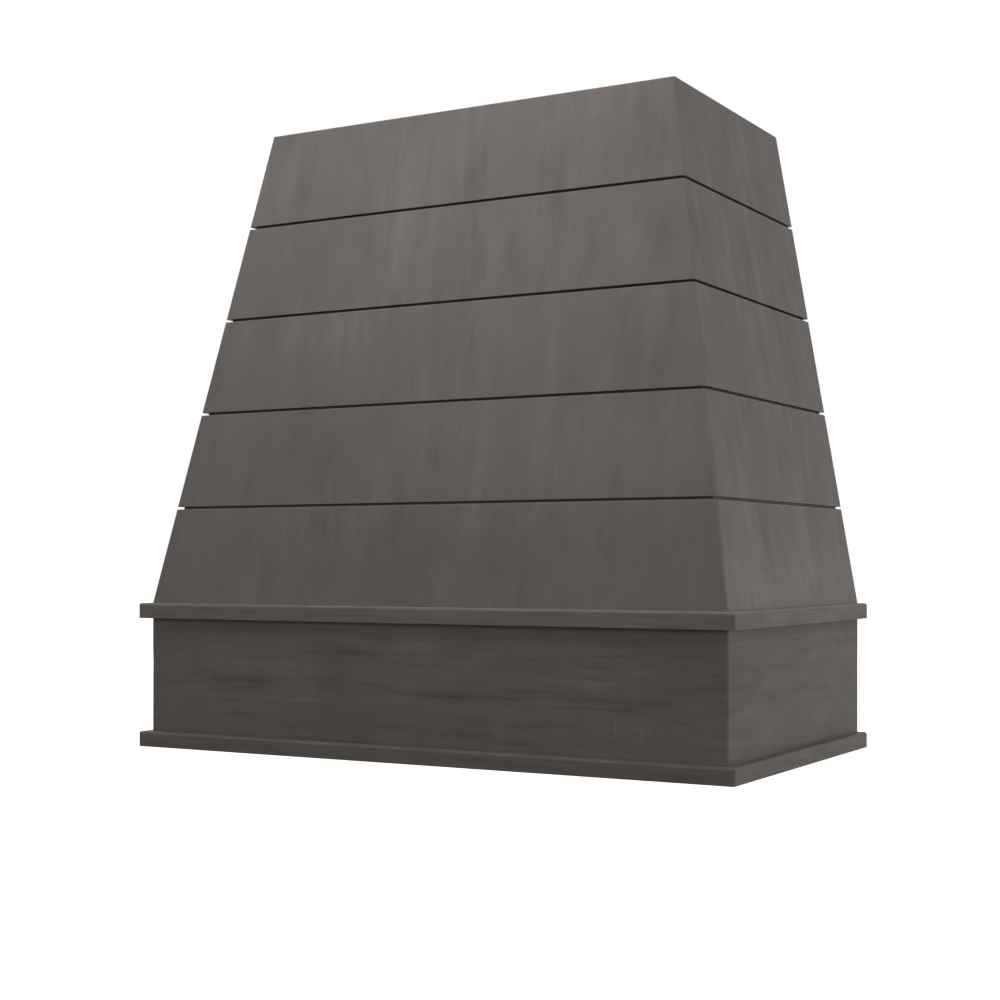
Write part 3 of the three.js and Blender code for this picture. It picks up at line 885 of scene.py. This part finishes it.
class FinishLumber(CoverOperator, bpy.types.Operator):
    """Finish the battens, rails, cleats, sills, ledgers and glue blocks"""

    bl_idname = "hood_cover.finish_lumber"
    bl_label = "Finish Lumber"

    def execute(self, context):
        _, sizes, colours = self.settings(context)
        along_x = poplar("Poplar along the wall", colours.poplar, 2, 1, 0)
        along_y = poplar("Poplar out from the wall", colours.poplar, 2, 0, 1)
        upright = poplar("Poplar upright", colours.poplar, 0, 1, 2)
        runs = {
            along_x: "top_rail_front top_rail_back hood_cleat wall_cleat sill_front sill_back band_back_rail"
            " ledger_front ledger_back",
            along_y: "top_rail_left top_rail_right sill_left sill_right ledger_left ledger_right",
            upright: "front_stud hip_batten_left hip_batten_right rear_stile_left rear_stile_right"
            " corner_block_front_left corner_block_front_right corner_block_rear_left"
            " corner_block_rear_right",
        }
        for material, names in runs.items():
            for name in names.split():
                finish_node(name, material, sizes.lumber_ease)
        return {"FINISHED"}


class AddScrews(CoverOperator, bpy.types.Operator):
    """Drive the countersunk screws of the cleat and of the shelf"""

    bl_idname = "hood_cover.add_screws"
    bl_label = "Add Screws"

    def execute(self, context):
        material = zinc_plate(context.scene.cover_colours.zinc)
        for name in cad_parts:
            if "_screw_" in name:
                add_piece(name, screw_in_place(*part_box(name)), material)
        return {"FINISHED"}


# ---------------------------------------------------------------- stage


LAMPS = {
    # setting of its power: label, place, what it is turned to, size
    "key": ("Key light", (0, -0.8, 1.25), (0, -0.1, 0.85), (0.7, 0.5)),
    "front": ("Front light", (0.2, -2.0, 0.72), (0, 0, 0.4), (0.7, 0.5)),
    "top": ("Top light", (0, -0.2, 2.4), (0, -0.1, 0), (1.6, 1.2)),
    "high_side": ("High side light", (1.9, -0.1, 1.6), (0.3, 0, 0.3), (0.9, 0.9)),
    "low_side": ("Low side light", (1.6, -0.05, 0.12), (0.4, 0, 0.25), (0.7, 0.2)),
    "fill": ("Rear light", (-1.8, 1.9, 1.2), (0, 0, 0.4), (1.2, 1.2)),
}
FLOOR_HALF = 8.0
FLOOR_DROP = 0.0003
# Strength of the floor's own white under the object, and the distances over which it rises to 1
FLOOR_GLOW = 0.84
FLOOR_FADE = (0.8, 2.5)
CAMERA_PLACE = (1.25288, -2.19254, 0.27185)
# Degrees from straight at the front, millimetres, and shares of the picture's width
CAMERA_TURN = 29.5148
FOCAL_LENGTH = 61.638
CAMERA_SHIFT = (-0.00843, 0.06222)


def white_seen(s):
    """1 for rays from the camera, from gloss and through glass, 0 for light falling on the object."""
    seen = s.node("ShaderNodeLightPath")
    rays = seen.socket.node.outputs
    for name in ("Is Glossy Ray", "Is Transmission Ray"):
        seen = seen.at_least(Value(s, rays[name]))
    return seen


def soft_light(watts, name, place, aim, size):
    """A rectangular soft light at a place, turned to a point."""
    lamp = bpy.data.lights.new(name, "AREA")
    lamp.energy = watts
    lamp.shape = "RECTANGLE"
    lamp.size, lamp.size_y = size
    light = bpy.data.objects.new(name, lamp)
    bpy.context.scene.collection.objects.link(light)
    light.location = place
    light.rotation_euler = (Vector(aim) - Vector(place)).to_track_quat("-Z", "Y").to_euler()
    light.visible_camera = False
    light.visible_glossy = False


class SetStage(CoverOperator, bpy.types.Operator):
    """Lay the floor, hang the lights and place the camera"""

    bl_idname = "hood_cover.set_stage"
    bl_label = "Set Stage"

    def execute(self, context):
        studio = context.scene.studio_settings
        self.lay_floor(studio)
        self.light_world(context, studio)
        for setting, lamp in LAMPS.items():
            soft_light(getattr(studio, setting), *lamp)
        self.place_camera(context)
        return {"FINISHED"}

    def lay_floor(self, studio):
        half = FLOOR_HALF
        corners = np.array([[-half, -half, 0], [half, -half, 0], [half, half, 0], [-half, half, 0]])
        mesh = bpy.data.meshes.new("floor")
        mesh.from_pydata(corners - (0, 0, FLOOR_DROP), [], [[0, 1, 2, 3]])
        floor = bpy.data.objects.new("floor", mesh)
        bpy.context.scene.collection.objects.link(floor)
        material, s = new_shader("Pale floor")
        seen = white_seen(s)
        place = s.node("ShaderNodeTexCoord", output=3)
        away = s.node("ShaderNodeVectorMath", {"operation": "LENGTH"}, {0: place}, output=1)
        white = FLOOR_GLOW + s.step(away, *FLOOR_FADE) * (1 - FLOOR_GLOW)
        diffuse = s.node("ShaderNodeBsdfDiffuse", inputs={"Color": s.mix(seen, studio.bounce, studio.floor)})
        glow = s.node("ShaderNodeEmission", inputs={"Color": (1, 1, 1), "Strength": seen * white})
        both = s.node("ShaderNodeAddShader", inputs={0: diffuse, 1: glow})
        s.node("ShaderNodeOutputMaterial", inputs={"Surface": both})
        mesh.materials.append(material)

    def light_world(self, context, studio):
        world = bpy.data.worlds.new("Studio")
        world.use_nodes = True
        context.scene.world = world
        s = Shader(world.node_tree)
        strength = white_seen(s).at_least(studio.ambient)
        background = s.node("ShaderNodeBackground", inputs={"Color": (1, 1, 1), "Strength": strength})
        s.node("ShaderNodeOutputWorld", inputs={"Surface": background})

    def place_camera(self, context):
        """A level camera in front and to the right. Its shift keeps the uprights parallel, as in the
        photograph."""
        lens = bpy.data.cameras.new("Camera")
        lens.sensor_width = 36.0
        lens.lens = FOCAL_LENGTH
        lens.shift_x, lens.shift_y = CAMERA_SHIFT
        camera = bpy.data.objects.new("Camera", lens)
        camera.location = CAMERA_PLACE
        camera.rotation_euler = (math.pi / 2, 0, math.radians(CAMERA_TURN))
        context.scene.collection.objects.link(camera)
        context.scene.camera = camera
        context.scene.view_settings.view_transform = "Standard"


class CoverPanel(bpy.types.Panel):
    """The cover's sizes, colours and steps"""

    bl_idname = "VIEW3D_PT_hood_cover"
    bl_label = "Range Hood Cover"
    bl_space_type = "VIEW_3D"
    bl_region_type = "UI"
    bl_category = "Hood Cover"

    def draw(self, context):
        layout = self.layout
        for title, group in (
            ("Sizes", context.scene.cover_sizes),
            ("Colours", context.scene.cover_colours),
            ("Studio", context.scene.studio_settings),
        ):
            box = layout.box()
            box.label(text=title)
            for name in group.__annotations__:
                box.prop(group, name)
        for step in STEPS:
            layout.operator(step.bl_idname)


STEPS = (AddShiplap, AddBand, AddTrims, FinishPlywood, FinishLumber, AddScrews, SetStage)
GROUPS = {"cover_sizes": CoverSizes, "cover_colours": CoverColours, "studio_settings": StudioSettings}


def register():
    for made in (*GROUPS.values(), *STEPS, CoverPanel):
        bpy.utils.register_class(made)
    for name, group in GROUPS.items():
        setattr(bpy.types.Scene, name, bpy.props.PointerProperty(type=group))


def unregister():
    for name in GROUPS:
        delattr(bpy.types.Scene, name)
    for made in reversed((*GROUPS.values(), *STEPS, CoverPanel)):
        bpy.utils.unregister_class(made)


def main():
    register()
    for step in STEPS:
        folder, name = step.bl_idname.split(".")
        getattr(getattr(bpy.ops, folder), name)()


if __name__ == "__main__":
    main()
